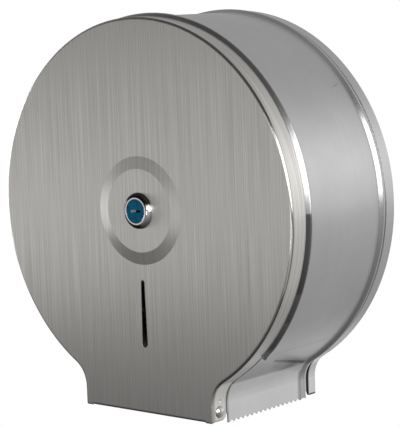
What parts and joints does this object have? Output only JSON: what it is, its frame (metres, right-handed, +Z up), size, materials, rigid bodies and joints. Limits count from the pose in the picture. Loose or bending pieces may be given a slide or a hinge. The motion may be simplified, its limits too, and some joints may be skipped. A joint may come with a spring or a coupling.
{
  "type": "jumbo toilet roll dispenser",
  "caption": "Round wall dispenser for a jumbo toilet roll: brushed steel drum with serrated cheeks, a drop-down locking cover and a turning spool.",
  "frame": {"origin": "on the drum's axis, in the back plate's rear face that lies on the wall", "axes": "+Y into the wall, so the front faces -Y; +Z up; +X to the viewer's right"},
  "size_m": [0.2748, 0.1207, 0.2846],
  "materials": {
    "brushed_steel": "vertical brushed",
    "drum_steel": "satin",
    "back_steel": "satin",
    "plated_steel": "zinc plated",
    "rivet_steel": "polished",
    "spring_steel": "dark spring steel",
    "chrome": "polished",
    "blue_plastic": "gloss",
    "white_plastic": "satin nylon",
    "spool_plastic": "moulded"
  },
  "bodies": {
    "wall_unit": {"back_plate": "back_steel", "drum_shell": "drum_steel", "spindle_post": "plated_steel", "keeper_plate": "plated_steel", "post_rivets": "rivet_steel", "thrust_washer": "white_plastic", "retaining_ring": "spring_steel", "hinge_rivets": "rivet_steel", "hinge_washers": "white_plastic", "hinge_burrs": "plated_steel"},
    "spool": {"core_spool": "spool_plastic"},
    "cover": {"front_cover": "brushed_steel", "lock_housing": "chrome", "lock_washer": "spring_steel", "lock_nut": "plated_steel"},
    "lock": {"lock_plug": "blue_plastic", "stop_washer": "plated_steel", "lock_cam": "plated_steel", "cam_washer": "plated_steel", "cam_screw": "plated_steel"}
  },
  "joints": [
    {"name": "cover_hinge", "type": "hinge", "parent": "wall_unit", "child": "cover", "pos_m": [0, -0.1087, -0.13785], "axis": [1, 0, 0], "range_deg": [0, 95]},
    {"name": "lock_turn", "type": "hinge", "parent": "cover", "child": "lock", "pos_m": [0, -0.11, 0], "axis": [0, 1, 0], "range_deg": [0, 90]},
    {"name": "spool_spin", "type": "hinge", "parent": "wall_unit", "child": "spool", "pos_m": [0, -0.05, 0], "axis": [0, 1, 0], "continuous": true}
  ]
}
